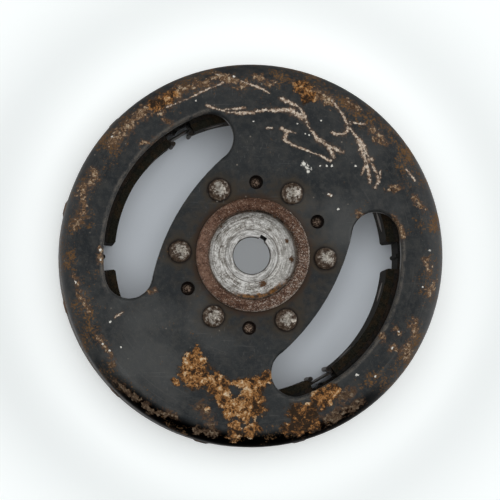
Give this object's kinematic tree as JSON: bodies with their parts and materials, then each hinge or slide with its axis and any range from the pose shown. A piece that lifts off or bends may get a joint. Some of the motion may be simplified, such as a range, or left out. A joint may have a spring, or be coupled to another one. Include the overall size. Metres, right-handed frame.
{
  "type": "magneto flywheel",
  "caption": "Magneto flywheel for a small engine: a windowed steel bowl riveted to a taper-bored hub, with arc magnets and pole shoes inside its rim.",
  "frame": {"origin": "on the crank axis, in the plane of the open rim the wheel stands on", "axes": "+Z along the crank axis, out of the closed face; +X and +Y in the rim plane, with a window's middle 150 degrees round from +X"},
  "size_m": [0.115, 0.115, 0.0362],
  "materials": {
    "shell_paint": "satin black paint, worn and rusted",
    "hub_steel": "turned steel, rusted on the collar",
    "cam_steel": "ground steel",
    "rivet_steel": "hammered steel with brown rust",
    "magnet": "cast, dark grey",
    "pole_steel": "sheet steel, brown patina",
    "spacer_alloy": "cast, dull",
    "clip_steel": "blackened spring steel",
    "pole_rivet_steel": "steel, peened over"
  },
  "bodies": {
    "root": {"rotor_shell": "shell_paint", "hub": "hub_steel", "breaker_cam": "cam_steel", "hub_rivets": "rivet_steel", "magnet_1": "magnet", "magnet_2": "magnet", "magnet_3": "magnet", "magnet_4": "magnet", "magnet_5": "magnet", "magnet_6": "magnet", "pole_shoe_1": "pole_steel", "pole_shoe_2": "pole_steel", "pole_shoe_3": "pole_steel", "pole_shoe_4": "pole_steel", "pole_shoe_5": "pole_steel", "pole_shoe_6": "pole_steel", "spacer_1": "spacer_alloy", "spacer_2": "spacer_alloy", "spacer_3": "spacer_alloy", "spacer_4": "spacer_alloy", "spacer_5": "spacer_alloy", "spacer_6": "spacer_alloy", "pole_clip_1": "clip_steel", "pole_clip_2": "clip_steel", "pole_clip_3": "clip_steel", "pole_clip_4": "clip_steel", "pole_rivets": "pole_rivet_steel"}
  },
  "joints": []
}
